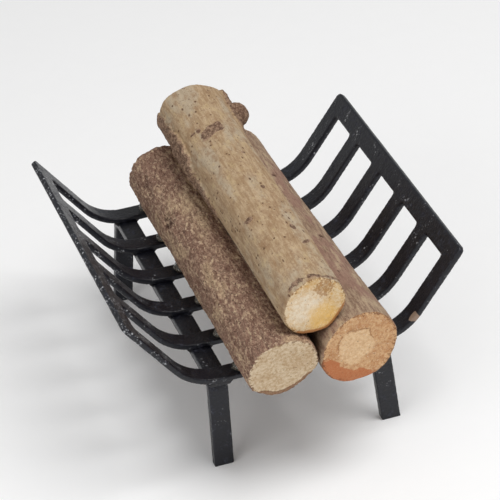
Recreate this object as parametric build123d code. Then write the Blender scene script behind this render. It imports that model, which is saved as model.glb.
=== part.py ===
"""Miniature fireplace log grate with three glued twig logs.

Millimetres. X runs along the bars, left to right; Y runs from the front to the back; Z is up.
The grate is drawn about its own middle, with the feet on z = 0, and at the end everything is moved so
that the origin is at the bottom centre of the whole object's box.
"""
from build123d import *
from math import cos, radians, sin
import os

# ---- grate plate: one sheet, slotted, then bent up at both sides ----
BAR_COUNT = 6
BAR_PITCH = 7.0
BAR_WIDTH = 2.3
SHEET = 0.6
GRATE_HEIGHT = 11.9          # top face of the flat bars above the ground
BEND_RADIUS = 5.7            # inner face of the bend between the flat and a wing
WING_LENGTH = 8.3            # straight part of a wing, from the bend to the tip
WING_ANGLE = {"left": 53.4, "right": 52.2}
FLAT_HALF = {"left": 8.9, "right": 8.5}
RAIL_WIDTH = 2.2
RAIL_CORNER = 0.6
SLOT_CORNER = 0.35

# ---- legs: flat strip bent into an inverted U ----
LEG_X = {"left": -9.0, "right": 9.15}
LEG_WIDTH = 2.1
LEG_THICKNESS = 1.0
LEG_FRONT_Y = -17.3
LEG_BACK_Y = 19.1
LEG_BEND = 2.0               # outer radius of the bend from the runner to a foot
# how far the foot of each strip ends up to the side (+X) and outwards (away from the runner)
FOOT_SPLAY = {
    ("left", "front"): (-0.15, 0.18),
    ("left", "back"): (-1.10, -0.18),
    ("right", "front"): (0.95, -0.55),
    ("right", "back"): (0.90, 0.10),
}

# ---- weld fillets where a bar sits on a runner ----
WELD_REACH = 0.45
WELD_DEPTH = 0.45

# ---- logs: front centre, back centre, front radius, back radius ----
LOG_REST = 0.02
LOGS = {
    "left": ((-4.00, -25.0), (-4.00, 17.8), 3.84, 3.87),
    "right": ((4.42, -24.8), (4.03, 17.9), 4.08, 3.92),
}
TOP_FRONT = (-0.15, -24.8, 22.08)
TOP_BACK = (0.15, 18.3, 22.72)
TOP_RADIUS = (3.48, 3.80)
# how the cut ends slant: backwards (+Y) per mm to the right, and per mm up
END_SLANT = {
    ("left", "front"): (0.06, -0.28),
    ("left", "back"): (-0.05, -0.08),
    ("right", "front"): (0.16, -0.06),
    ("right", "back"): (-0.12, 0.06),
    ("top", "front"): (0.10, -0.06),
    ("top", "back"): (-0.08, -0.28),
}
END_CHAMFER = 0.35
END_SPARE = 3.0              # a log is made this much longer, then its ends are cut at a slant
KNOT_Y = 13.2
KNOT_RADIUS = 1.35
KNOT_REACH = 4.7

# ---- glue ----
BEAD_RADII = (1.25, 1.15, 0.85)
BEAD_OFFSET = 2.1            # from under the log's axis, outwards
SEAM_RADIUS = 0.62
SEAM_OFFSET = 1.6            # from the line of contact, out towards the open side of the gap
SEAM_SHARE = {"left": 0.482, "right": 0.470}    # of the way from the top log's axis down to the other
SEAM_INSET = 5.0             # the seams stop this short of the logs' ends

SIDES = {"left": -1, "right": 1}
PLATE_DEPTH = (BAR_COUNT - 1) * BAR_PITCH + BAR_WIDTH
UNDERSIDE = GRATE_HEIGHT - SHEET


def bar_y(index):
    """Centre line of a bar, 0 at the back."""
    return ((BAR_COUNT - 1) / 2 - index) * BAR_PITCH


def wing_point(side, rise, along):
    """A point of the wing's section: `rise` above the sheet's inner face, `along` past the bend."""
    angle = radians(WING_ANGLE[side])
    radius = BEND_RADIUS - rise
    x = FLAT_HALF[side] + radius * sin(angle) + along * cos(angle)
    z = GRATE_HEIGHT + BEND_RADIUS - radius * cos(angle) + along * sin(angle)
    return SIDES[side] * x, z


def bend_middle(side, rise):
    """The middle point of the bend at `rise` above the sheet's inner face."""
    angle = radians(WING_ANGLE[side] / 2)
    radius = BEND_RADIUS - rise
    x = FLAT_HALF[side] + radius * sin(angle)
    return SIDES[side] * x, GRATE_HEIGHT + BEND_RADIUS - radius * cos(angle)


def sheet_band(low, high, wing, depth):
    """The bent strip between two levels of the sheet, `wing` long on each wing, `depth` deep in Y."""
    with BuildPart() as band:
        with BuildSketch(Plane.XZ):
            with BuildLine():
                for rise in (low, high):
                    level = GRATE_HEIGHT + rise
                    starts = {side: (SIDES[side] * FLAT_HALF[side], level) for side in SIDES}
                    Line(starts["left"], starts["right"])
                    for side in SIDES:
                        end = wing_point(side, rise, 0)
                        ThreePointArc(starts[side], bend_middle(side, rise), end)
                        Line(end, wing_point(side, rise, wing))
                for side in SIDES:
                    Line(wing_point(side, low, wing), wing_point(side, high, wing))
            make_face()
        extrude(amount=depth / 2, both=True)
    return band.part


def grate_plate():
    """Six bars and two end rails, all one sheet."""
    plate = sheet_band(-SHEET, 0, WING_LENGTH, PLATE_DEPTH)
    plate = fillet(sheet_corners(plate, SHEET), RAIL_CORNER)
    gap = BAR_PITCH - BAR_WIDTH
    slot = sheet_band(-SHEET - 0.5, 0.5, WING_LENGTH - RAIL_WIDTH, gap)
    slot = fillet(sheet_corners(slot, SHEET + 1.0), SLOT_CORNER)
    for index in range(BAR_COUNT - 1):
        plate = plate - Pos(0, bar_y(index) - BAR_PITCH / 2, 0) * slot
    return plate


def sheet_corners(solid, thickness):
    """The four short edges across the sheet's thickness at the tips of the wings."""
    short = [edge for edge in solid.edges() if abs(edge.length - thickness) < 0.01]
    return [edge for edge in short if abs(edge.center().X) > FLAT_HALF["left"]]


def foot(side, end):
    """One foot, from the end of its bend down to the ground, leaning as it was bent."""
    outward = -1 if end == "front" else 1
    face_y = LEG_FRONT_Y if end == "front" else LEG_BACK_Y
    centre_y = face_y - outward * LEG_THICKNESS / 2
    lean_x, lean_out = FOOT_SPLAY[side, end]
    top = Pos(LEG_X[side], centre_y, UNDERSIDE - LEG_BEND) * Rectangle(LEG_WIDTH, LEG_THICKNESS)
    ground_y = centre_y + outward * lean_out
    ground = Pos(LEG_X[side] + lean_x, ground_y, 0) * Rectangle(LEG_WIDTH, LEG_THICKNESS)
    return loft([top.face(), ground.face()])


def runner(side):
    """The straight under the bars and the bend at each end."""
    drop = UNDERSIDE - LEG_BEND
    half = LEG_BEND * sin(radians(45))
    inner = LEG_BEND - LEG_THICKNESS
    inner_half = inner * sin(radians(45))
    with BuildPart() as strip:
        with BuildSketch(Plane.YZ.offset(LEG_X[side] - LEG_WIDTH / 2)):
            with BuildLine():
                for radius, mid, level in ((LEG_BEND, half, UNDERSIDE),
                                           (inner, inner_half, UNDERSIDE - LEG_THICKNESS)):
                    bends = []
                    for face_y, outward in ((LEG_FRONT_Y, -1), (LEG_BACK_Y, 1)):
                        centre_y = face_y - outward * LEG_BEND
                        start = (centre_y, level)
                        middle = (centre_y + outward * mid, drop + mid)
                        end = (centre_y + outward * radius, drop)
                        ThreePointArc(start, middle, end)
                        bends.append(start)
                    Line(*bends)
                for face_y, outward in ((LEG_FRONT_Y, -1), (LEG_BACK_Y, 1)):
                    Line((face_y, drop), (face_y - outward * LEG_THICKNESS, drop))
            make_face()
        extrude(amount=LEG_WIDTH)
    return strip.part


def leg(side):
    """Runner, bends and feet as one bent strip."""
    return runner(side) + foot(side, "front") + foot(side, "back")


def welds(side, strip):
    """Small fillets in the corners under each bar, on both sides of the runner."""
    half = LEG_WIDTH / 2
    with BuildPart() as bead:
        with BuildSketch(Plane.XZ):
            Polygon((-half - WELD_REACH, 0), (half + WELD_REACH, 0),
                    (half, -WELD_DEPTH), (-half, -WELD_DEPTH), align=None)
        extrude(amount=BAR_WIDTH * 0.42, both=True)
    beads = []
    for index in range(BAR_COUNT):
        blank = Pos(LEG_X[side], bar_y(index), UNDERSIDE) * bead.part
        beads += (blank - strip).solids()
    return Compound(beads)


def log_axis(name):
    """Front and back centres of a log."""
    if name == "top":
        return Vector(*TOP_FRONT), Vector(*TOP_BACK)
    front, back, front_radius, back_radius = LOGS[name]
    lift = GRATE_HEIGHT + LOG_REST
    return Vector(*front, lift + front_radius), Vector(*back, lift + back_radius)


def log(name):
    """A slightly tapered round log, cut at a slant at both ends, with the edges broken."""
    front_radius, back_radius = TOP_RADIUS if name == "top" else LOGS[name][2:]
    front, back = log_axis(name)
    length = (back - front).length
    taper = (back_radius - front_radius) / length * END_SPARE
    base = Plane(origin=front - (back - front).normalized() * END_SPARE, z_dir=back - front)
    body = base * Cone(front_radius - taper, back_radius + taper, length + 2 * END_SPARE,
                       align=(Align.CENTER, Align.CENTER, Align.MIN))
    for end, centre, outward in (("front", front, -1), ("back", back, 1)):
        across, upward = END_SLANT[name, end]
        cut = Plane(origin=centre, z_dir=Vector(-across, 1, -upward) * outward)
        body = split(body, bisect_by=cut, keep=Keep.BOTTOM)
    body = chamfer(body.edges().filter_by(GeomType.ELLIPSE), END_CHAMFER)
    if name == "top":
        body = body + knot()
    return body


def knot():
    """The stub of a side branch on the top log, level with its axis, pointing right and back."""
    front, back = log_axis("top")
    share = (KNOT_Y - front.Y) / (back.Y - front.Y)
    root = front + (back - front) * share
    stub = Plane(origin=root, z_dir=(0.95, 0.25, 0.18))
    return stub * Cone(KNOT_RADIUS + 0.4, KNOT_RADIUS, KNOT_REACH,
                       align=(Align.CENTER, Align.CENTER, Align.MIN))


def glue_beads(side, solids):
    """A drop of glue on every bar, in the wedge between the bar and the outside of the log."""
    front, back = log_axis(side)
    drop = scale(Sphere(1), by=BEAD_RADII)
    beads = []
    for index in range(BAR_COUNT):
        y = bar_y(index)
        share = (y - front.Y) / (back.Y - front.Y)
        x = (front + (back - front) * share).X + SIDES[side] * BEAD_OFFSET
        bead = Pos(x, y, GRATE_HEIGHT + 0.1) * drop
        above = Pos(x, y, GRATE_HEIGHT + 1.5) * Box(4, 4, 3)
        bead = (bead & above) - solids["log_" + side]
        beads.append(bead.solids().sort_by(SortBy.VOLUME)[-1])
    return Compound(beads)


def glue_seams(solids):
    """A run of glue on the outer side of each gap between the top log and a log below it."""
    front, back = log_axis("top")
    along = (back - front).normalized()
    seams = []
    for side in SIDES:
        low_front, low_back = log_axis(side)
        ends = []
        for top in (front + along * SEAM_INSET, back - along * SEAM_INSET):
            share = (top.Y - low_front.Y) / (low_back.Y - low_front.Y)
            below = low_front + (low_back - low_front) * share
            down = (below - top).normalized()
            outward = along.cross(down) * -SIDES[side]
            contact = top + down * (below - top).length * SEAM_SHARE[side]
            ends.append(contact + outward * SEAM_OFFSET)
        line = Plane(origin=ends[0], z_dir=ends[1] - ends[0])
        seam = line * Cylinder(SEAM_RADIUS, (ends[1] - ends[0]).length,
                               align=(Align.CENTER, Align.CENTER, Align.MIN))
        seam = seam - solids["log_top"] - solids["log_" + side]
        seams.append(seam.solids().sort_by(SortBy.VOLUME)[-1])
    return Compound(seams)


def build():
    """Every piece of the object, by node name."""
    nodes = {"grate_plate": grate_plate()}
    for side in SIDES:
        nodes["leg_" + side] = leg(side)
        nodes["welds_" + side] = welds(side, nodes["leg_" + side])
    for name in ("left", "right", "top"):
        nodes["log_" + name] = log(name)
    for side in SIDES:
        nodes["glue_" + side + "_log"] = glue_beads(side, nodes)
    nodes["glue_top_log"] = glue_seams(nodes)
    return nodes


def main():
    """Move the object onto its origin and write one STEP file per node."""
    nodes = build()
    box = Compound(list(nodes.values())).bounding_box()
    middle = box.center()
    home = Pos(-middle.X, -middle.Y, -box.min.Z)
    os.makedirs("parts", exist_ok=True)
    for name, shape in nodes.items():
        export_step(home * shape, f"parts/{name}.step")
    print("box", box.size, "moved by", home.position)


main()
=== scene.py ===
"""The looks of a miniature log grate: painted steel, three real twigs and the glue that holds them."""
import math
import random

import bpy
from mathutils import Matrix, Vector, noise


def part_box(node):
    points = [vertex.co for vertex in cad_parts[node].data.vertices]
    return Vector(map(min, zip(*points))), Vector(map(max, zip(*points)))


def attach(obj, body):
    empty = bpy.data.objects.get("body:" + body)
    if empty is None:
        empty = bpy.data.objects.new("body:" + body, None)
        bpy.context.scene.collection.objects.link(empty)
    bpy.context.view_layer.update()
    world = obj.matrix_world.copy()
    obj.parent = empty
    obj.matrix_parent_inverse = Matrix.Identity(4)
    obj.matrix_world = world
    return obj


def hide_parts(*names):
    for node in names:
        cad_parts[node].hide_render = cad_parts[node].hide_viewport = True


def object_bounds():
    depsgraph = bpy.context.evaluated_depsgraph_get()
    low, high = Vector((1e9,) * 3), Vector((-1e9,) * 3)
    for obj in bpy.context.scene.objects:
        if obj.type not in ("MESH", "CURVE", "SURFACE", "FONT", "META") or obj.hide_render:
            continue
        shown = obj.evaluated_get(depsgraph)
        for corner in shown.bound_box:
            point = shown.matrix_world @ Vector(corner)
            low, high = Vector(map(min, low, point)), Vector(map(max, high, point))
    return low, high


MM = 0.001
FRONT, BACK = 0, 1

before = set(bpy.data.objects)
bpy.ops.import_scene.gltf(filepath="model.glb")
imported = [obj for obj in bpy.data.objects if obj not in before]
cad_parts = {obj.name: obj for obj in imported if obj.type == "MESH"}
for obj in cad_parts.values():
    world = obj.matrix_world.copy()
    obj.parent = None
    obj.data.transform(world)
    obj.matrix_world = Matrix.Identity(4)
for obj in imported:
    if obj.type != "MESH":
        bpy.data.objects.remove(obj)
cad_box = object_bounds()


# ---------------------------------------------------------------- shader maths

def tone(red, green, blue):
    """A display colour from 0 to 255 as the linear colour that a shader takes."""
    def linear(level):
        level /= 255
        return level / 12.92 if level <= 0.04045 else ((level + 0.055) / 1.055) ** 2.4
    return linear(red), linear(green), linear(blue), 1.0


class Value:
    """One output socket of a finish. Arithmetic on it adds Math nodes."""

    def __init__(self, finish, socket):
        self.finish = finish
        self.socket = socket

    def math(self, operation, *others):
        sockets = dict(enumerate([self, *others]))
        return self.finish.node("ShaderNodeMath", {"operation": operation}, sockets)

    def __add__(self, other):
        return self.math("ADD", other)

    __radd__ = __add__

    def __sub__(self, other):
        return self.math("SUBTRACT", other)

    def __rsub__(self, other):
        return self.finish.node("ShaderNodeMath", {"operation": "SUBTRACT"}, {0: other, 1: self})

    def __mul__(self, other):
        return self.math("MULTIPLY", other)

    __rmul__ = __mul__

    def limited(self):
        """Kept between 0 and 1."""
        return self.finish.node("ShaderNodeClamp", {}, {0: self})

    def step(self, low, high):
        """A smooth climb from 0 at `low` to 1 at `high`; a fall if low is the larger."""
        settings = {"interpolation_type": "SMOOTHSTEP"}
        if low < high:
            return self.finish.node("ShaderNodeMapRange", settings, {0: self, 1: low, 2: high})
        return 1 - self.finish.node("ShaderNodeMapRange", settings, {0: self, 1: high, 2: low})


class Finish:
    """A material in the making: its nodes and the shader that they feed."""

    def __init__(self, name, **constants):
        self.material = bpy.data.materials.new(name)
        self.material.use_nodes = True
        self.tree = self.material.node_tree
        self.shader = self.tree.nodes["Principled BSDF"]
        for socket, value in constants.items():
            self.shader.inputs[socket.replace("_", " ")].default_value = value

    def node(self, kind, settings, sockets, output=0):
        """Any node: its type, its settings, and the values or links of its sockets."""
        made = self.tree.nodes.new(kind)
        for key, value in settings.items():
            setattr(made, key, value)
        for key, value in sockets.items():
            self.feed(made.inputs[key], value)
        return Value(self, made.outputs[output])

    def feed(self, socket, value):
        if isinstance(value, Value):
            self.tree.links.new(value.socket, socket)
        else:
            socket.default_value = value

    def shade(self, socket, value):
        """Feeds one socket of the material's shader."""
        self.feed(self.shader.inputs[socket], value)

    def place(self, across, along):
        """Where on the object, in features: `across` and `along` are a feature's size in mm."""
        spot = self.node("ShaderNodeTexCoord", {}, {}, "Object")
        size = (1 / (across * MM), 1 / (along * MM), 1 / (across * MM))
        return self.node("ShaderNodeVectorMath", {"operation": "MULTIPLY"}, {0: spot, 1: size})

    def grain(self, across, along=None, detail=3.0, rough=0.55):
        """Cloudy noise from 0 to 1, `along` mm long and `across` mm wide."""
        spot = self.place(across, along or across)
        return self.node("ShaderNodeTexNoise", {}, {
            "Vector": spot, "Scale": 1.0, "Detail": detail, "Roughness": rough})

    def cells(self, across, along=None):
        """Distance from the middle of the nearest cell, 0 to about 1."""
        spot = self.place(across, along or across)
        return self.node("ShaderNodeTexVoronoi", {}, {"Vector": spot, "Scale": 1.0})

    def stored(self, name):
        """A value that the mesh carries at each of its points."""
        return self.node("ShaderNodeAttribute", {"attribute_name": name}, {}, "Fac")

    def mix(self, under, over, share):
        """A colour between two."""
        return self.node("ShaderNodeMix", {"data_type": "RGBA"}, {0: share, 6: under, 7: over}, 2)

    def relief(self, height, depth):
        """Fine relief too small for the mesh, `depth` in mm."""
        bumped = self.node("ShaderNodeBump", {}, {
            "Strength": 1.0, "Distance": depth * MM, "Height": height})
        self.shade("Normal", bumped)


# ---------------------------------------------------------------- finishes

def ragged(finish, name, grain, spread=0.7):
    """A stored share, its edge torn by fine grain."""
    return (finish.stored(name) + spread * (grain - 0.5)).step(0.40, 0.60)


def black_paint():
    """Thin black paint on steel: dust specks, rubbed patches whose lighter colour is part wear and part
    painted sheen, uneven gloss.
    """
    paint = Finish("black_paint", Specular_IOR_Level=0.42)
    cloud = paint.grain(4.0, detail=4)
    scuff_and_sheen = paint.grain(0.9, detail=6, rough=0.7).step(0.52, 0.64)
    orange_peel = paint.grain(0.30, detail=5, rough=0.6)
    scatter = paint.grain(0.5, detail=5, rough=0.7)
    specks = paint.cells(0.50).step(0.30, 0.14) + paint.cells(0.26).step(0.34, 0.18) * 0.6
    dusty = (paint.grain(1.5, detail=4) + 0.16 * paint.stored("worn")).step(0.57, 0.70)
    dust = (specks * dusty).limited()
    colour = paint.mix(tone(9, 10, 16), tone(20, 21, 31), cloud)
    # painted sheen: the rubbed patches are made lighter, partly worn paint and partly a painted stand-in for
    # glossy streaks of light
    colour = paint.mix(colour, tone(60, 62, 74), scuff_and_sheen * orange_peel.step(0.40, 0.62) * 0.7)
    colour = paint.mix(colour, tone(190, 192, 196), dust * 0.75)
    chipped = ragged(paint, "chip", scatter)
    colour = paint.mix(colour, tone(168, 142, 122), chipped * 0.75)
    paint.shade("Base Color", colour)
    paint.shade("Roughness", 0.24 + 0.22 * cloud + 0.25 * scuff_and_sheen + 0.15 * dust)
    paint.relief(0.65 * orange_peel + 0.35 * paint.grain(1.4, detail=4), 0.09)
    return paint.material


def weld_metal():
    """The same black paint over lumpy weld, with bare grey glints."""
    weld = Finish("black_weld")
    glint = weld.grain(0.5, detail=5).step(0.55, 0.7)
    weld.shade("Base Color", weld.mix(tone(26, 26, 31), tone(112, 114, 118), glint * 0.5))
    weld.shade("Metallic", glint * 0.6)
    weld.shade("Roughness", 0.5 - 0.2 * glint)
    weld.relief(weld.grain(0.22, detail=4), 0.04)
    return weld.material


def cut_wood(finish, bark, pale, warm, disc, singed, stained):
    """Lays the cut ends over a bark colour: pale fibres, pores, a paler middle and a darker edge."""
    fibre = finish.grain(0.30, detail=6, rough=0.7)
    dust = finish.grain(0.13, detail=3)
    blot = finish.grain(1.4, detail=4)
    cut = ragged(finish, "cut", fibre)
    rim = finish.stored("rim")
    pores = finish.cells(0.5).step(0.20, 0.08) * finish.grain(0.8).step(0.46, 0.6)
    rings = finish.node("ShaderNodeMath", {"operation": "SINE"}, {0: rim * 38 + blot * 14}) * 0.5 + 0.5
    wood = finish.mix(pale, warm, (0.16 * rings + 0.75 * fibre.step(0.42, 0.62)
                                   + 0.4 * blot.step(0.42, 0.62)).limited())
    wood = finish.mix(wood, disc, finish.stored("heart") * (0.55 + 0.45 * fibre.step(0.6, 0.4)))
    wood = finish.mix(wood, stained, finish.stored("stain") * (0.5 + 0.5 * fibre))
    wood = finish.mix(wood, tone(236, 222, 196), dust.step(0.56, 0.70) * 0.55)
    wood = finish.mix(wood, tone(150, 106, 68), ragged(finish, "ring", fibre, 1.6) * 0.6)
    wood = finish.mix(wood, singed, ragged(finish, "singe", fibre) * (0.75 + 0.25 * dust.step(0.4, 0.6)))
    wood = finish.mix(wood, tone(104, 72, 48), (pores * 0.7 + dust.step(0.36, 0.26) * 0.5).limited())
    crust = (rim + 0.45 * (fibre - 0.5) + 0.10 * (blot - 0.5)).step(0.93, 1.0)
    wood = finish.mix(wood, tone(98, 66, 46), crust * 0.65)
    return finish.mix(bark, wood, cut), cut


def rough_bark():
    """Dry reddish-brown bark in short flakes, with painted shade darkening its furrows."""
    bark = Finish("rough_bark", Specular_IOR_Level=0.2)
    fleck = bark.grain(0.32, 0.80, detail=6, rough=0.7)
    crumb = bark.grain(0.18, 0.22, detail=4, rough=0.6)
    patch = bark.grain(2.6, 6.0, detail=4, rough=0.6)
    streak = bark.grain(0.60, 2.6, detail=5, rough=0.6)
    shaded_furrow = bark.stored("furrow_shade")
    colour = bark.mix(tone(128, 98, 82), tone(182, 153, 128), fleck.step(0.42, 0.60))
    colour = bark.mix(colour, tone(140, 107, 92), patch.step(0.44, 0.60) * 0.5)
    colour = bark.mix(colour, tone(194, 168, 134), patch.step(0.46, 0.36) * 0.45)
    colour = bark.mix(colour, tone(206, 182, 148), fleck.step(0.54, 0.66) * streak.step(0.42, 0.54) * 0.85)
    colour = bark.mix(colour, tone(104, 72, 60), streak.step(0.46, 0.36) * 0.6)
    # painted shade: the bark is darkened where it sinks into furrows and the gouge
    colour = bark.mix(colour, tone(70, 48, 40), shaded_furrow * fleck.step(0.60, 0.38) * 0.9)
    colour = bark.mix(colour, tone(56, 38, 32), crumb.step(0.44, 0.34) * 0.9)
    colour = bark.mix(colour, tone(226, 206, 176), crumb.step(0.60, 0.70) * 0.8)
    crack = bark.grain(0.5, 2.4, detail=5, rough=0.7)
    crack = crack.step(0.485, 0.50) * crack.step(0.515, 0.50) * patch.step(0.42, 0.52)
    colour = bark.mix(colour, tone(58, 40, 34), crack * 0.7)
    colour, cut = cut_wood(bark, colour, tone(222, 202, 172), tone(190, 160, 124), tone(222, 202, 170),
                           tone(134, 98, 72), tone(196, 168, 130))
    bark.shade("Base Color", colour)
    bark.shade("Roughness", 0.92 - 0.12 * cut)
    bark.relief(0.6 * fleck + 0.4 * crumb, 0.17)
    return bark.material


def smooth_bark():
    """Thin grey-tan bark with fine lengthwise lines, a few pits, painted shade in its scars, and pinkish
    patches.
    """
    bark = Finish("smooth_bark", Specular_IOR_Level=0.25)
    line = bark.grain(0.28, 1.9, detail=6, rough=0.68)
    patch = bark.grain(2.4, 6.0, detail=4)
    crumb = bark.grain(0.17, 0.30, detail=4, rough=0.6)
    speck = bark.grain(0.34, 0.6, detail=3).step(0.62, 0.72)
    colour = bark.mix(tone(134, 108, 89), tone(172, 148, 123), line.step(0.40, 0.62))
    colour = bark.mix(colour, tone(148, 114, 100), patch.step(0.46, 0.60) * 0.7)
    colour = bark.mix(colour, tone(190, 168, 138), bark.grain(0.9, 3.0, detail=4).step(0.53, 0.65) * 0.6)
    colour = bark.mix(colour, tone(88, 64, 52), crumb.step(0.42, 0.30) * 0.75)
    colour = bark.mix(colour, tone(206, 188, 162), crumb.step(0.62, 0.75) * 0.6)
    # dark specks, and painted shade in the sunk round scars
    colour = bark.mix(colour, tone(78, 55, 43), (speck * 0.75 + bark.stored("furrow_shade")).limited())
    colour, cut = cut_wood(bark, colour, tone(214, 174, 130), tone(186, 134, 90), tone(226, 192, 150),
                           tone(186, 112, 70), tone(206, 160, 108))
    bark.shade("Base Color", colour)
    bark.shade("Roughness", 0.85 - 0.1 * cut)
    bark.relief(0.6 * line + 0.4 * crumb, 0.12)
    return bark.material


def bare_wood():
    """Peeled, dried wood: tan with grey bands, brown pits, and scraps of bark left on."""
    wood = Finish("bare_wood", Specular_IOR_Level=0.22)
    line = wood.grain(0.30, 2.2, detail=6, rough=0.65)
    band = wood.grain(2.2, 8.0, detail=4)
    mottle = wood.grain(1.1, 2.0, detail=5, rough=0.65)
    grime = wood.grain(0.36, 0.55, detail=5, rough=0.7)
    crumb = wood.grain(0.15, 0.24, detail=3)
    pit = wood.cells(0.7, 0.95).step(0.24, 0.11) * wood.grain(1.5, 2.4).step(0.46, 0.56)
    pit = pit + wood.cells(0.8, 1.9).step(0.19, 0.09) * wood.grain(2.2, 3.4).step(0.49, 0.58)
    nick = wood.grain(0.16, 0.42, detail=2).step(0.68, 0.76)
    colour = wood.mix(tone(162, 134, 102), tone(186, 161, 130), line.step(0.40, 0.62))
    colour = wood.mix(colour, tone(184, 171, 150), band.step(0.5, 0.64) * 0.6)
    colour = wood.mix(colour, tone(150, 119, 89), mottle.step(0.50, 0.64) * 0.6)
    colour = wood.mix(colour, tone(196, 172, 132), mottle.step(0.46, 0.34) * 0.5)
    colour = wood.mix(colour, tone(128, 100, 74), grime.step(0.54, 0.68) * 0.55)
    colour = wood.mix(colour, tone(212, 194, 164), crumb.step(0.60, 0.72) * 0.5)
    colour = wood.mix(colour, tone(122, 94, 68), crumb.step(0.40, 0.30) * 0.5)
    colour = wood.mix(colour, tone(92, 64, 44), (pit * 0.9 + nick * 0.7).limited())
    scrap = ragged(wood, "bark", grime, 1.1)
    scrap_tone = wood.mix(tone(96, 70, 58), tone(158, 130, 108), grime.step(0.42, 0.60))
    scrap_tone = wood.mix(scrap_tone, tone(58, 41, 34), crumb.step(0.44, 0.34) * 0.8)
    colour = wood.mix(colour, scrap_tone, scrap * 0.9)
    colour, cut = cut_wood(wood, colour, tone(222, 200, 164), tone(206, 164, 104), tone(234, 218, 194),
                           tone(180, 122, 72), tone(228, 184, 106))
    wood.shade("Base Color", colour)
    wood.shade("Roughness", 0.75 + 0.2 * scrap)
    wood.relief(0.4 * line + 0.35 * grime + 0.25 * crumb, 0.12)
    return wood.material


def clear_glue():
    """Hard clear glue: glossy, a little milky and yellowed."""
    glue = Finish("clear_glue", Transmission_Weight=0.85, IOR=1.48)
    milk = glue.grain(0.8, detail=3)
    glue.shade("Base Color", glue.mix(tone(238, 234, 222), tone(214, 200, 172), milk))
    glue.shade("Roughness", 0.06 + 0.12 * milk)
    glue.relief(glue.grain(0.5), 0.03)
    return glue.material


def pale_floor():
    """Plain off-white paper."""
    paper = Finish("pale_floor", Roughness=0.9)
    paper.shade("Base Color", paper.mix(tone(252, 252, 252), tone(254, 254, 254), paper.grain(3.0)))
    return paper.material


FINISHES = {
    "black_steel": black_paint(),
    "black_weld": weld_metal(),
    "rough_bark": rough_bark(),
    "smooth_bark": smooth_bark(),
    "bare_wood": bare_wood(),
    "clear_glue": clear_glue(),
}


# ---------------------------------------------------------------- mesh helpers

def add_piece(name, mesh, slot, *nodes):
    """Puts a finished mesh in the scene, on the object's one body."""
    piece = bpy.data.objects.new(name, mesh)
    bpy.context.scene.collection.objects.link(piece)
    mesh.materials.clear()
    mesh.materials.append(FINISHES[slot])
    for face in mesh.polygons:
        face.use_smooth = True
    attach(piece, "root")
    if nodes:
        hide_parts(*nodes)
    return piece


def applied(mesh, *modifiers):
    """The mesh after these modifiers, each a type and its settings."""
    carrier = bpy.data.objects.new("carrier", mesh)
    bpy.context.scene.collection.objects.link(carrier)
    for kind, settings in modifiers:
        modifier = carrier.modifiers.new(kind.lower(), kind)
        for key, value in settings.items():
            setattr(modifier, key, value)
    shaped = carrier.evaluated_get(bpy.context.evaluated_depsgraph_get())
    result = bpy.data.meshes.new_from_object(shaped)
    bpy.data.objects.remove(carrier)
    return result


def ripple(point, size, stretch=1.0, seed=0.0):
    """Smooth noise about 0, from -1 to 1: `size` mm across and `stretch` times that along Y."""
    return noise.noise(Vector((point[0] / size + seed, point[1] / (size * stretch) - seed, point[2] / size)))


def smooth_step(value, low, high):
    """0 up to `low`, 1 from `high` on, and a smooth climb between."""
    share = min(1.0, max(0.0, (value - low) / (high - low)))
    return share * share * (3 - 2 * share)


def turn_between(angle, other):
    """The turn from the other angle to this one, from -180 to 180 degrees."""
    return (angle - other + 180) % 360 - 180


def angle_gap(angle, other):
    """The smallest turn between two angles, in degrees."""
    return abs(turn_between(angle, other))


def skinned(rows):
    """Faces between each row of points and the next; a row of one point closes an end."""
    faces = []
    for row, following in zip(rows, rows[1:]):
        around = max(len(row), len(following))
        for turn in range(around):
            after = (turn + 1) % around
            if len(row) == 1:
                faces.append((row[0], following[after], following[turn]))
            elif len(following) == 1:
                faces.append((row[turn], row[after], following[0]))
            else:
                faces.append((row[turn], row[after], following[after], following[turn]))
    return faces


def joined(name, parts):
    """One mesh from several lists of points, in mm, and faces."""
    points, faces = [], []
    for part_points, part_faces in parts:
        faces += [tuple(index + len(points) for index in face) for face in part_faces]
        points += part_points
    mesh = bpy.data.meshes.new(name)
    mesh.from_pydata([point * MM for point in points], [], faces)
    mesh.update()
    return mesh


def store(mesh, values):
    """Gives each point of a mesh its values, for the finishes to read."""
    for name, numbers in values.items():
        mesh.attributes.new(name, "FLOAT", "POINT").data.foreach_set("value", numbers)


# ---------------------------------------------------------------- the steel

DUSTY_FROM, DUSTY_TO = 11.0, 17.0        # mm out along the left wing, where dust clings to the paint
CHIP_SIZE = Vector((0.70, 0.36, 0.60))   # mm: a pale scuff on the right bend of the front bar
CHIP_OUT = 0.683                         # its place: a share of the plate's half width,
CHIP_BEHIND = 0.25                       # mm behind the front edge,
CHIP_UP = 0.23                           # and a share of the plate's height


def chip_centre():
    """The middle of the scuff, in mm."""
    low, high = (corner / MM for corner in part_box("grate_plate"))
    return Vector((high.x * CHIP_OUT, low.y + CHIP_BEHIND, low.z + (high.z - low.z) * CHIP_UP))


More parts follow.
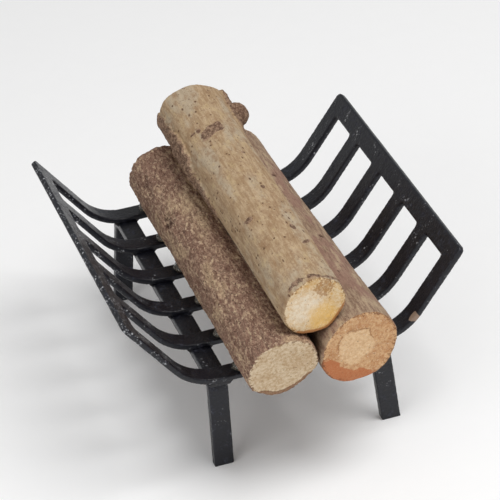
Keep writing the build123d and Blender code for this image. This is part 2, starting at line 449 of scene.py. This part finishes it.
def coated(node, slot, voxel, lump):
    """A steel piece with the soft edges and lumpy film of thick paint; `voxel` and `lump` are in mm."""
    settings = {"mode": "VOXEL", "voxel_size": voxel * MM, "adaptivity": 0.0}
    mesh = applied(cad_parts[node].data.copy(), ("REMESH", settings),
                   ("SMOOTH", {"factor": 0.5, "iterations": 3}))
    chip_at = chip_centre()
    worn, chip = [], []
    normals = [vertex.normal.copy() for vertex in mesh.vertices]
    for vertex, normal in zip(mesh.vertices, normals):
        spot = vertex.co / MM
        film = 0.6 * ripple(spot, 1.1) + 0.4 * ripple(spot, 0.4, seed=7.0)
        vertex.co += normal * (voxel * 0.22 + lump * film) * MM
        worn.append(smooth_step(-spot.x, DUSTY_FROM, DUSTY_TO))
        away = spot - chip_at
        away = Vector([away[axis] / CHIP_SIZE[axis] for axis in range(3)])
        chip.append(1 - smooth_step(away.length, 0.5, 1.5))
    store(mesh, {"worn": worn, "chip": chip})
    return add_piece("painted_" + node, mesh, slot, node)


# ---------------------------------------------------------------- the twigs

AROUND = 208                 # points round a log
FACE_RINGS = 22              # rings on each cut face, each broken edge and the bark between
EDGE_RINGS = 7
BODY_RINGS = 320
TWIG_VALUES = ("cut", "rim", "heart", "ring", "stain", "singe", "furrow_shade", "bark")
RIM_REACH = 0.5              # mm from a cut face in which its rim lies
SLANTS = {                   # run of each cut, front and back, per mm to the right and per mm up
    "log_left": ((0.06, -0.28), (-0.05, -0.08)),
    "log_right": ((0.16, -0.06), (-0.12, 0.06)),
    "log_top": ((0.10, -0.06), (-0.08, -0.28)),
}


class Twig:
    """A log's axis and ends, taken from its solid, and the way from the axis to its surface."""

    def __init__(self, node):
        points = [vertex.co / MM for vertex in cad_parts[node].data.vertices]
        ends = []
        for sign, slant in zip((1, -1), SLANTS[node]):
            square = [sign * (point.y - slant[0] * point.x - slant[1] * point.z) for point in points]
            rim = [point for point, run in zip(points, square) if run < min(square) + RIM_REACH]
            low = Vector([min(point[axis] for point in rim) for axis in range(3)])
            high = Vector([max(point[axis] for point in rim) for axis in range(3)])
            middle = (low + high) / 2
            middle.y = sign * min(square) + slant[0] * middle.x + slant[1] * middle.z
            ends.append((middle, (high.z - low.z) / 2))
        (self.front, self.front_radius), (self.back, self.back_radius) = ends
        self.length = (self.back - self.front).length
        self.along = (self.back - self.front).normalized()
        self.side = self.along.cross(Vector((0, 0, 1))).normalized()
        self.up = self.side.cross(self.along)

    def radius(self, run):
        share = run / self.length
        return self.front_radius + (self.back_radius - self.front_radius) * share

    def spoke(self, angle):
        """Straight out from the axis: 0 degrees is up and 90 degrees is to the right."""
        turn = math.radians(angle)
        return self.side * math.sin(turn) + self.up * math.cos(turn)

    def point(self, run, angle, reach):
        return self.front + self.along * run + self.spoke(angle) * reach


class End:
    """A cut end: its slant, how its edge is broken at each angle, and what its face shows."""

    def __init__(self, edge, wide_edge=0.0, wide_depth=0.1, wide_at=180.0, wide_reach=60.0,
                 heart=0.0, heart_at=(0.0, 0.0), heart_blur=0.12, stain=0.0, stain_at=(0.0, 0.0), dome=0.0,
                 spall=0.0, spall_at=(0.0, 0.0), bark_rim=False, seed=0.0):
        self.edge = edge                  # shares of the radius, here and below
        self.wide_edge = wide_edge
        self.wide_depth = wide_depth
        self.wide_at = wide_at
        self.wide_reach = wide_reach
        self.heart = heart
        self.heart_at = heart_at
        self.heart_blur = heart_blur
        self.stain = stain
        self.stain_at = stain_at
        self.spall = spall
        self.spall_at = spall_at
        self.dome = dome
        self.bark_rim = bark_rim
        self.seed = seed

    def width(self, angle):
        """1 where the broken edge is widest, 0 away from it."""
        return 1 - smooth_step(angle_gap(angle, self.wide_at), self.wide_reach * 0.45, self.wide_reach * 1.2)

    def broken(self, angle):
        """Width and depth of the broken edge, as shares of the radius."""
        turn = math.radians(angle)
        wobble = 1 + 0.3 * noise.noise(Vector((math.cos(turn) * 1.9 + self.seed, math.sin(turn) * 1.9, 0)))
        width = self.width(angle)
        return (self.edge + self.wide_edge * width) * wobble, (self.edge + self.wide_depth * width) * wobble

    def marks(self, share, angle):
        """The paler middle of the face, the dark line around it or broken patch, and a stain."""
        turn = math.radians(angle)
        across, height = share * math.sin(turn), share * math.cos(turn)
        wobble = 0.14 * noise.noise(Vector((across * 4 + self.seed, height * 4, 3.0)))

        def gap(place, size):
            return (math.hypot(across - place[0], height - place[1]) + wobble) / size if size else 9.0

        blur = self.heart_blur
        middle = gap(self.heart_at, self.heart)
        ring = 0.62 * (1 - smooth_step(gap(self.spall_at, self.spall), 0.5, 1.3))
        if blur < 0.3:
            ring = max(0.0, 1 - abs(middle - 1.05) / 0.12) * smooth_step(height + wobble * 2, -0.1, 0.3)
        stain = 1 - smooth_step(gap(self.stain_at, self.stain), 0.5, 1.3)
        return 1 - smooth_step(middle, 1 - blur, 1 + blur), ring, stain


def end_stations():
    """Steps from the middle of a cut face out to the start of the bark: face, then broken edge."""
    face = [("face", ring / FACE_RINGS) for ring in range(FACE_RINGS + 1)]
    edge = [("edge", ring / EDGE_RINGS) for ring in range(1, EDGE_RINGS + 1)]
    return face + edge


def end_place(end, slant, inward, zone, step, angle):
    """Share of the radius, and run along the axis from the end's middle, for one station."""
    turned = math.radians(angle)
    lean = slant[0] * math.sin(turned) + slant[1] * math.cos(turned)
    broken, depth = end.broken(angle)
    flat = 1 - broken
    if zone == "face":
        share = flat * step
        return share, lean * share + inward * end.dome * share * share
    turn = step * math.pi / 2
    share = flat + broken * math.sin(turn)
    fall = end.dome * flat * flat + depth * (1 - math.cos(turn))
    return share, lean * share + inward * fall


def carve_twig(name, node, slot, ends, surface):
    """Builds a log ring by ring, from the middle of one cut face to the middle of the other."""
    twig = Twig(node)
    stations = [(FRONT, *station) for station in end_stations()]
    stations += [(None, "body", ring / BODY_RINGS) for ring in range(1, BODY_RINGS)]
    stations += [(BACK, *station) for station in reversed(end_stations())]
    points = []
    values = {key: [] for key in TWIG_VALUES}
    bases = ((0.0, twig.front_radius, 1), (twig.length, twig.back_radius, -1))

    def place(which, zone, step, angle):
        base, radius, inward = bases[which]
        share, run = end_place(ends[which], SLANTS[node][which], inward, zone, step, angle)
        return share, base + run * radius

    def add(which, zone, step, angle):
        if zone == "body":
            start = place(FRONT, "edge", 1.0, angle)[1]
            stop = place(BACK, "edge", 1.0, angle)[1]
            run, share, end = start + (stop - start) * step, 1.0, None
        else:
            end = ends[which]
            share, run = place(which, zone, step, angle)
        spot = twig.point(run, angle, twig.radius(run) * share)
        skin = surface(twig, spot, run, angle)
        blend = smooth_step(share, 0.72, 1.0)
        if zone == "face":
            saw = 0.06 * ripple(spot, 0.6, seed=end.seed) + 0.04 * ripple(spot, 0.22, seed=5.0)
            reach = twig.radius(run) * share + skin["height"] * blend * blend
            run += saw if which == FRONT else -saw
        else:
            reach = twig.radius(run) * share + skin["height"]
        points.append(twig.point(run, angle, reach))
        tear = 0.22 * ripple(spot, 0.7, seed=9.0) + 0.1 * ripple(spot, 0.25, seed=1.0)
        width = end.width(angle) if end else 0.0
        cut = 1.0 if zone == "face" else 0.0
        singe = 0.0
        if zone == "edge":
            bare = 0.3 if end.bark_rim else 0.35 + 0.65 * width
            cut = 1 - smooth_step(step + tear, bare, bare + 0.3)
            singe = max(width, 0.4)
        elif end:
            singe = smooth_step(share + tear * 0.3, 0.86, 1.0) * (0.35 + 0.5 * width)
        heart, ring, stain = end.marks(share, angle) if end else (0.0, 0.0, 0.0)
        numbers = (cut, share, heart, ring, stain, singe, skin["furrow_shade"], skin["bark"])
        for key, number in zip(TWIG_VALUES, numbers):
            values[key].append(number)

    rows = []
    for which, zone, step in stations:
        if zone == "face" and step == 0:
            rows.append([len(points)])
            add(which, zone, step, 0.0)
            continue
        rows.append(list(range(len(points), len(points) + AROUND)))
        for turn in range(AROUND):
            add(which, zone, step, 360 * turn / AROUND)
    mesh = joined(name, [(points, skinned(rows))])
    store(mesh, values)
    return add_piece(name, mesh, slot, node)


# places on the bark are mm from the front end and degrees round from the top
GOUGE_RUN, GOUGE_ANGLE = 29.2, -60
GOUGE_LENGTH, GOUGE_WIDTH = 1.5, 12      # half its size: mm along the log, degrees round it
SCARS = (                                # run, angle and radius in mm
    (16.7, 31, 0.42), (30.8, 25, 0.35), (9.3, 62, 0.4), (24.3, 70, 0.5),
)
SCRAPS = (       # run, angle, half length in mm, half width in degrees, mm of lift, squareness, mm of lean
    (32.1, -10.0, 0.95, 20.0, 0.05, 4, 0.020),
    (33.2, -31.0, 0.40, 4.5, 0.03, 2, 0.0),
    (33.4, -43.0, 0.26, 7.0, 0.03, 2, 0.0),
    (14.1, -40.5, 0.45, 7.5, 0.02, 2, 0.0),
    (18.8, 13.7, 0.42, 4.0, 0.0, 2, 0.0),
    (10.4, 23.2, 0.50, 5.5, 0.02, 2, 0.0),
    (7.7, 34.0, 0.30, 11.0, 0.0, 2, 0.05),
    (26.3, 17.9, 0.30, 5.0, 0.0, 2, 0.0),
    (38.4, -101.0, 5.6, 22.0, 0.26, 4, 0.0),
    (33.4, -91.0, 4.4, 21.0, 0.50, 3, 0.06),
    (27.0, -99.0, 5.0, 12.0, 0.30, 2, 0.0),
    (38.4, 74.0, 3.6, 24.0, 0.38, 3, 0.0),
)


def rough_skin(twig, spot, run, angle):
    """Bark in short raised flakes, with furrows between them and one old gouge."""
    ridge = 1 - 2 * abs(ripple(spot, 1.1, 4.0, seed=2.0))
    flake = 1 - 2 * abs(ripple(spot, 0.45, 2.6, seed=4.0))
    crumb = ripple(spot, 0.24, 1.4, seed=6.0)
    height = 0.22 * ripple(spot, 4.5, 3.0) + 0.12 * ridge + 0.10 * flake + 0.05 * crumb
    # how deep in a furrow or the gouge each point lies; the bark finish darkens these places as painted
    # shade
    furrow_shade = 0.5 * smooth_step(-ridge, 0.0, 0.8) + 0.7 * smooth_step(-flake, 0.1, 0.8)
    gouge = math.hypot((run - GOUGE_RUN) / GOUGE_LENGTH, angle_gap(angle, GOUGE_ANGLE) / GOUGE_WIDTH)
    hollow = 1 - smooth_step(gouge + 0.5 * ripple(spot, 0.7, 2.0), 0.4, 1.1)
    return {"height": height - 0.25 * hollow - 0.06, "furrow_shade": min(1.0, furrow_shade + hollow), "bark": 1.0}


def smooth_skin(twig, spot, run, angle):
    """Thin bark: fine lengthwise lines, shallow swellings and a few round scars."""
    line = ripple(spot, 0.5, 6.0, seed=1.0)
    height = 0.14 * ripple(spot, 4.0, 3.5, seed=3.0) + 0.045 * line + 0.03 * ripple(spot, 0.25, 2.5)
    scar = 0.0
    for scar_run, scar_angle, size in SCARS:
        gap = math.hypot(run - scar_run, math.radians(angle_gap(angle, scar_angle)) * twig.radius(run))
        scar = max(scar, 1 - smooth_step(gap, size * 0.5, size))
    fuller = 0.16 * (1 - smooth_step(run, 4.0, 22.0)) * smooth_step(angle_gap(angle, 0), 40, 90)
    fuller += 0.30 * (1 - smooth_step(run, 1.0, 6.0)) * (1 - smooth_step(angle_gap(angle, 195), 40, 100))
    # the scars' darkness in the finish is painted shade
    return {"height": height - 0.12 * scar - 0.02 + fuller, "furrow_shade": scar * 0.9, "bark": 1.0}


def peeled_skin(twig, spot, run, angle):
    """Whittled wood with faint facets, scraps of bark that stand a little proud, and a wider back end."""
    facet = 0.045 * math.cos(math.radians(angle * 7 + 25 * ripple(spot, 9.0)))
    height = 0.11 * ripple(spot, 4.2, 3.0, seed=6.0) + facet + 0.03 * ripple(spot, 0.4, 3.0)
    height += 0.025 * ripple(spot, 0.25, 1.5, seed=12.0)
    rag = 0.30 * ripple(spot, 0.9, 1.5, seed=8.0) + 0.22 * ripple(spot, 0.35, seed=3.0)
    bark = 0.0
    raised = 0.0
    for scrap_run, scrap_angle, half_length, half_width, lift, square, lean in SCRAPS:
        around = turn_between(angle, scrap_angle)
        along = run - scrap_run - lean * around
        gap = (abs(along / half_length) ** square + abs(around / half_width) ** square) ** (1 / square)
        share = 1 - smooth_step(gap + rag, 0.75, 1.25)
        bark = max(bark, share)
        raised = max(raised, lift * smooth_step(share, 0.3, 0.7))
    torn = ripple(spot, 1.3, 1.3, seed=31.0)
    collar = 1 - smooth_step(abs(run - 0.5 - 1.0 * rag - 0.5 * torn), 0.05, 0.65)
    collar *= 1 - smooth_step(angle_gap(angle, 14) + 70 * rag, 60, 95)
    collar *= smooth_step(torn + rag, -0.75, -0.2)
    rough = 0.32 * raised * (ripple(spot, 0.5, 1.6, seed=2.0) + 0.6 * ripple(spot, 0.25, seed=21.0))
    flare = 0.28 * smooth_step(run, twig.length - 9.0, twig.length - 0.5)
    flare *= 1 - smooth_step(angle_gap(angle, 15), 50, 110)
    return {"height": height + raised + rough + flare + 0.05 * collar - 0.03,
            "furrow_shade": 0.0, "bark": min(1.0, bark + 0.8 * collar)}


KNOT_RUN, KNOT_ANGLE = 37.8, 74.0        # mm from the log's front end, degrees round from its top
KNOT_SUNK = 1.2              # mm that its foot starts below the log's surface
KNOT_RADIUS = 1.30           # mm, and how much wider its foot is
KNOT_FOOT = 0.55
KNOT_PAST = 0.15             # mm that its tip passes the log's solid to the right
KNOT_LEAN = (0.95, 0.5)      # mm that its tip lies behind its foot, and above it
KNOT_AROUND, KNOT_RINGS, KNOT_CAP_RINGS = 72, 30, 12


def grow_knot():
    """The stub of a cut side branch on the peeled log: a short rough cone with a broken top."""
    twig = Twig("log_top")
    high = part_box("log_top")[1] / MM
    root = twig.point(KNOT_RUN, KNOT_ANGLE, twig.radius(KNOT_RUN) - KNOT_SUNK)
    tip = Vector((high.x + KNOT_PAST, root.y + KNOT_LEAN[0], root.z + KNOT_LEAN[1]))
    axis = (tip - root).normalized()
    across = axis.cross(Vector((0, 0, 1))).normalized()
    over = across.cross(axis)
    length = (tip - root).length
    points, rows = [], []
    for ring in range(KNOT_RINGS + KNOT_CAP_RINGS + 1):
        on_cap = max(0, ring - KNOT_RINGS)
        rise = min(1.0, ring / KNOT_RINGS)
        share = 1.0 - on_cap / KNOT_CAP_RINGS
        base = KNOT_RADIUS + KNOT_FOOT * (1 - rise) ** 2
        swell = base * math.sqrt(1 - max(0.0, (rise - 0.72) / 0.36) ** 2)
        row = []
        for turn in range(KNOT_AROUND if share > 0 else 1):
            angle = 2 * math.pi * turn / KNOT_AROUND
            out = across * math.cos(angle) + over * math.sin(angle)
            spot = root + axis * length * rise + out * swell * share
            bump = 0.16 * ripple(spot, 0.8, seed=1.0) + 0.08 * ripple(spot, 0.3, seed=2.0)
            row.append(len(points))
            points.append(spot + (axis if on_cap else out) * bump)
        rows.append(row)
    mesh = joined("knot", [(points, [tuple(rows[0]), *skinned(rows)])])
    store(mesh, {key: [float(key in ("rim", "bark"))] * len(points) for key in TWIG_VALUES})
    return add_piece("log_top_knot", mesh, "bare_wood")


# ---------------------------------------------------------------- glue

BARS = 6
BEAD_HALF = 1.15             # mm from the middle of the first solid bead to its edge, along the log
DROP_RADII = Vector((1.15, 1.0, 0.62))   # mm across the log, along it and up
DROP_LIFT = 0.18             # mm from the underside of the solid beads up to a drop's middle
RUN_STEPS, RUN_AROUND = 90, 12
RUN_OFFSET = 0.70            # mm from the narrowest place between two logs out to the glue
RUN_SIZE, RUN_UNEVEN, RUN_LEAST = 0.24, 0.10, 0.02       # mm of radius


def blob(centre, radii, seed, segments=28, rings=16):
    """Points and faces of one lumpy drop of glue, from its underside up."""
    points, rows = [], []
    for ring in range(rings + 1):
        polar = math.pi * ring / rings
        row = []
        for turn in range(segments if 0 < ring < rings else 1):
            angle = 2 * math.pi * turn / segments
            out = Vector((math.cos(angle), math.sin(angle), 0)) * math.sin(polar)
            out.z = -math.cos(polar)
            swell = 1 + 0.22 * noise.noise(out * 1.6 + Vector((seed, 0, 0)))
            row.append(len(points))
            points.append(centre + out * radii * swell)
        rows.append(row)
    return points, skinned(rows)


def glue_on_bars(node):
    """A lumpy drop on each bar, in the corner where the log meets it."""
    luck = random.Random(len(node))
    low, high = (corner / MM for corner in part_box(node))
    first = low.y + BEAD_HALF
    pitch = (high.y - low.y - 2 * BEAD_HALF) / (BARS - 1)
    middle = (low.x + high.x) / 2
    parts = []
    for bar in range(BARS):
        centre = Vector((middle + luck.uniform(-0.2, 0.2), first + bar * pitch + luck.uniform(-0.2, 0.2),
                         low.z + DROP_LIFT))
        size = luck.uniform(0.85, 1.1)
        parts.append(blob(centre, DROP_RADII * size, luck.uniform(0, 50)))
    return add_piece("drops_" + node, joined(node, parts), "clear_glue", node)


def axis_at(twig, y):
    """The point of a log's axis at this place along the object."""
    return twig.front + twig.along * ((y - twig.front.y) / twig.along.y)


def glue_under_top():
    """A thin uneven run of glue on each side of the top log, down in the gap."""
    low, high = (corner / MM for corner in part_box("glue_top_log"))
    top = Twig("log_top")
    parts = []
    for name in ("log_left", "log_right"):
        under = Twig(name)
        points, rows = [], []
        for step in range(RUN_STEPS + 1):
            y = low.y + (high.y - low.y) * step / RUN_STEPS
            upper, lower = axis_at(top, y), axis_at(under, y)
            reach, rest = top.radius(y - top.front.y), under.radius(y - under.front.y)
            half_gap = ((upper - lower).length - reach - rest) / 2
            down = (lower - upper).normalized()
            outward = top.along.cross(down) * (1 if name == "log_left" else -1)
            middle = upper + down * (half_gap + reach) + outward * RUN_OFFSET
            taper = math.sqrt(max(0.0, 1 - (2 * step / RUN_STEPS - 1) ** 12))
            uneven = RUN_UNEVEN * noise.noise(Vector((y * 0.5, under.front.x, 0)))
            size = (RUN_SIZE + uneven) * taper + RUN_LEAST
            rows.append(list(range(len(points), len(points) + RUN_AROUND)))
            for turn in range(RUN_AROUND):
                angle = 2 * math.pi * turn / RUN_AROUND
                points.append(middle + Vector((math.cos(angle), 0, math.sin(angle))) * size)
        parts.append((points, [*skinned(rows), tuple(rows[0]), tuple(reversed(rows[-1]))]))
    return add_piece("runs_glue_top_log", joined("runs", parts), "clear_glue", "glue_top_log")


# ---------------------------------------------------------------- the object

coated("grate_plate", "black_steel", voxel=0.12, lump=0.018)
for side in ("left", "right"):
    coated("leg_" + side, "black_steel", voxel=0.10, lump=0.022)
    coated("welds_" + side, "black_weld", voxel=0.06, lump=0.05)

carve_twig("bark_log_left", "log_left", "rough_bark", {
    FRONT: End(0.05, wide_edge=0.19, wide_depth=0.20, wide_at=172.0, wide_reach=66.0, bark_rim=True,
               seed=1.0),
    BACK: End(0.06, dome=0.04, seed=2.0)}, rough_skin)
carve_twig("bark_log_right", "log_right", "smooth_bark", {
    FRONT: End(0.05, wide_edge=0.40, wide_depth=0.12, wide_at=212.0, wide_reach=64.0,
               heart=0.50, heart_at=(-0.14, 0.04), seed=3.0),
    BACK: End(0.06, dome=0.03, seed=4.0)}, smooth_skin)
carve_twig("peeled_log_top", "log_top", "bare_wood", {
    FRONT: End(0.07, wide_edge=0.13, wide_depth=0.12, wide_at=160.0, wide_reach=75.0,
               heart=0.58, heart_at=(-0.30, 0.05), heart_blur=0.45,
               stain=0.50, stain_at=(0.26, -0.42), spall=0.42, spall_at=(0.30, 0.62), seed=5.0),
    BACK: End(0.06, dome=0.06, seed=6.0)}, peeled_skin)
grow_knot()
glue_on_bars("glue_left_log")
glue_on_bars("glue_right_log")
glue_under_top()


# ---------------------------------------------------------------- floor, light and camera

FLOOR_HALF = 1.5             # metres, as are the lamps' places and sizes
LAMPS = (                    # name, place, size and watts
    ("key", (0.10, -0.10, 0.34), 0.22, 0.80),
    ("fill", (-0.30, -0.22, 0.20), 0.30, 0.38),
)
ROOM_LIGHT = 0.40


def lay_floor():
    """A flat floor, which isn't part of the object."""
    mesh = bpy.data.meshes.new("floor")
    half = FLOOR_HALF
    corners = [(-half, -half, 0), (half, -half, 0), (half, half, 0), (-half, half, 0)]
    mesh.from_pydata(corners, [], [(0, 1, 2, 3)])
    mesh.materials.append(pale_floor())
    floor = bpy.data.objects.new("floor", mesh)
    bpy.context.scene.collection.objects.link(floor)


def add_lamp(name, place, aim, size, watts):
    """A round soft lamp."""
    lamp = bpy.data.lights.new(name, "AREA")
    lamp.shape = "DISK"
    lamp.size = size
    lamp.energy = watts
    holder = bpy.data.objects.new(name, lamp)
    holder.location = place
    holder.rotation_euler = (Vector(aim) - Vector(place)).to_track_quat("-Z", "Y").to_euler()
    bpy.context.scene.collection.objects.link(holder)


def light_room():
    """A soft lamp from high on the right, a weaker one from the left, and an even white room."""
    low, high = cad_box
    middle = (Vector(low) + Vector(high)) / 2
    for name, place, size, watts in LAMPS:
        add_lamp(name, place, middle, size, watts)
    room = bpy.data.worlds.new("room")
    room.use_nodes = True
    room.node_tree.nodes["Background"].inputs["Color"].default_value = (1, 1, 1, 1)
    room.node_tree.nodes["Background"].inputs["Strength"].default_value = ROOM_LIGHT
    bpy.context.scene.world = room
    bpy.context.scene.view_settings.view_transform = "Standard"


CAMERA_PLACE = Vector((-69.1, -246.8, 174.7)) * MM      # from the ground under the plate's middle
CAMERA_AZIMUTH = 15.8        # degrees from straight ahead, along +Y, towards +X
CAMERA_TILT = 32.0           # degrees below level
CAMERA_ROLL = -4.82          # degrees
CAMERA_LENS = 198.57         # mm, on a sensor 36 mm wide
SENSOR = 36.0


def set_camera():
    """A long lens in front of the grate, above it and to its left."""
    azimuth, tilt, roll = (math.radians(a) for a in (CAMERA_AZIMUTH, CAMERA_TILT, CAMERA_ROLL))
    ahead = Vector((math.sin(azimuth) * math.cos(tilt), math.cos(azimuth) * math.cos(tilt), -math.sin(tilt)))
    level = Vector((math.cos(azimuth), -math.sin(azimuth), 0))
    upright = level.cross(ahead)
    right = level * math.cos(roll) + upright * math.sin(roll)
    above = upright * math.cos(roll) - level * math.sin(roll)
    turn = Matrix((right, above, -ahead)).transposed()
    lens = bpy.data.cameras.new("camera")
    lens.lens = CAMERA_LENS
    lens.sensor_width = SENSOR
    lens.clip_start = 0.01
    lens.clip_end = 10.0
    camera = bpy.data.objects.new("camera", lens)
    low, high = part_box("grate_plate")
    middle = Vector(((low.x + high.x) / 2, (low.y + high.y) / 2, 0))
    camera.matrix_world = Matrix.Translation(middle + CAMERA_PLACE) @ turn.to_4x4()
    bpy.context.scene.collection.objects.link(camera)
    bpy.context.scene.camera = camera


lay_floor()
light_room()
set_camera()
